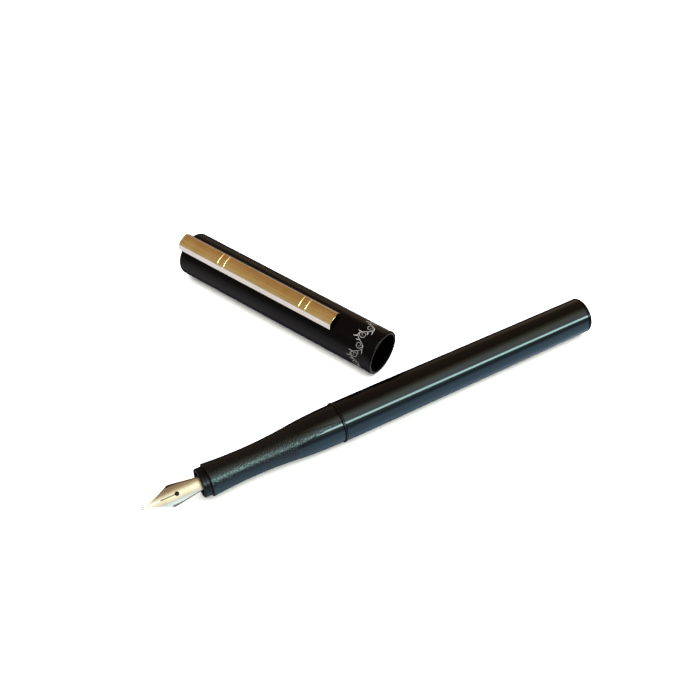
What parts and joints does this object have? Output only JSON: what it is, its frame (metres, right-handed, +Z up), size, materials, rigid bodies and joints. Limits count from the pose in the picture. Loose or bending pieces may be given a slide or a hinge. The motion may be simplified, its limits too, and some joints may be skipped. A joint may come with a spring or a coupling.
{
  "type": "fountain pen",
  "caption": "Slim black fountain pen with a waisted matt grip, metal nib and inner piston converter, lying beside its cap, which has a long gold channel clip.",
  "frame": {"origin": "centre of the base of the whole box, on the table", "axes": "X along the pen from the nib (-X) to the barrel's end (+X), Z up from the table, Y across towards the cap's closed end"},
  "size_m": [0.1296, 0.0802, 0.0141],
  "materials": {
    "grip": "matte",
    "gloss_black": "gloss",
    "cap_black": "satin",
    "black_plastic": "satin",
    "seal_plastic": "satin",
    "clear_plastic": "gloss",
    "brass": "satin",
    "bright_metal": "satin",
    "hard_metal": "satin",
    "nib_metal": "polished",
    "gold": "polished"
  },
  "bodies": {
    "front": {"grip": "grip", "nib_collar": "gloss_black", "nib_housing": "black_plastic", "thread_sleeve": "brass"},
    "nib_unit": {"nib": "nib_metal", "nib_tip": "hard_metal", "feed": "black_plastic"},
    "turning_ring": {"joint_ring": "gloss_black"},
    "barrel": {"barrel_tube": "gloss_black", "barrel_insert": "brass", "barrel_plug": "gloss_black"},
    "converter": {"converter_mouth": "black_plastic", "converter_tube": "clear_plastic", "converter_band": "bright_metal"},
    "knob": {"converter_knob": "black_plastic"},
    "piston": {"converter_piston": "seal_plastic", "piston_rod": "bright_metal"},
    "cap": {"cap_tube": "cap_black", "cap_lip": "cap_black", "cap_end": "cap_black", "cap_liner": "black_plastic", "cap_screw": "bright_metal", "clip_anchor": "bright_metal"},
    "clip_arm": {"clip": "gold"}
  },
  "joints": [
    {"name": "nib_pull", "type": "slide", "parent": "front", "child": "nib_unit", "axis": [-1, 0, 0], "range_m": [0, 0.024]},
    {"name": "barrel_unscrew", "type": "hinge", "parent": "front", "child": "turning_ring", "pos_m": [-0.01135, -0.03474, 0.00538], "axis": [1, 0, 0], "range_deg": [0, 1800]},
    {"name": "barrel_advance", "type": "slide", "parent": "turning_ring", "child": "barrel", "axis": [1, 0, 0], "range_m": [0, 0.0035]},
    {"name": "converter_pull", "type": "slide", "parent": "front", "child": "converter", "axis": [1, 0, 0], "range_m": [0, 0.006]},
    {"name": "knob_turn", "type": "hinge", "parent": "converter", "child": "knob", "pos_m": [0.0454, -0.03474, 0.00538], "axis": [-1, 0, 0], "range_deg": [0, 3600]},
    {"name": "piston_travel", "type": "slide", "parent": "converter", "child": "piston", "axis": [-1, 0, 0], "range_m": [0, 0.022]},
    {"name": "cap_slide", "type": "slide", "parent": "front", "child": "cap", "axis": [-0.4359, 0.9, 0], "range_m": [0, 0.06]},
    {"name": "clip_flex", "type": "hinge", "parent": "cap", "child": "clip_arm", "pos_m": [-0.0201, 0.03545, 0.01189], "axis": [-0.8385, -0.4061, -0.3633], "range_deg": [0, 3], "stiffness_Nm_per_rad": 2.5}
  ],
  "couplings": [
    {"joint": "barrel_unscrew", "follows": "barrel_advance", "rad_per_m": 8976},
    {"joint": "knob_turn", "follows": "piston_travel", "rad_per_m": 2856}
  ]
}
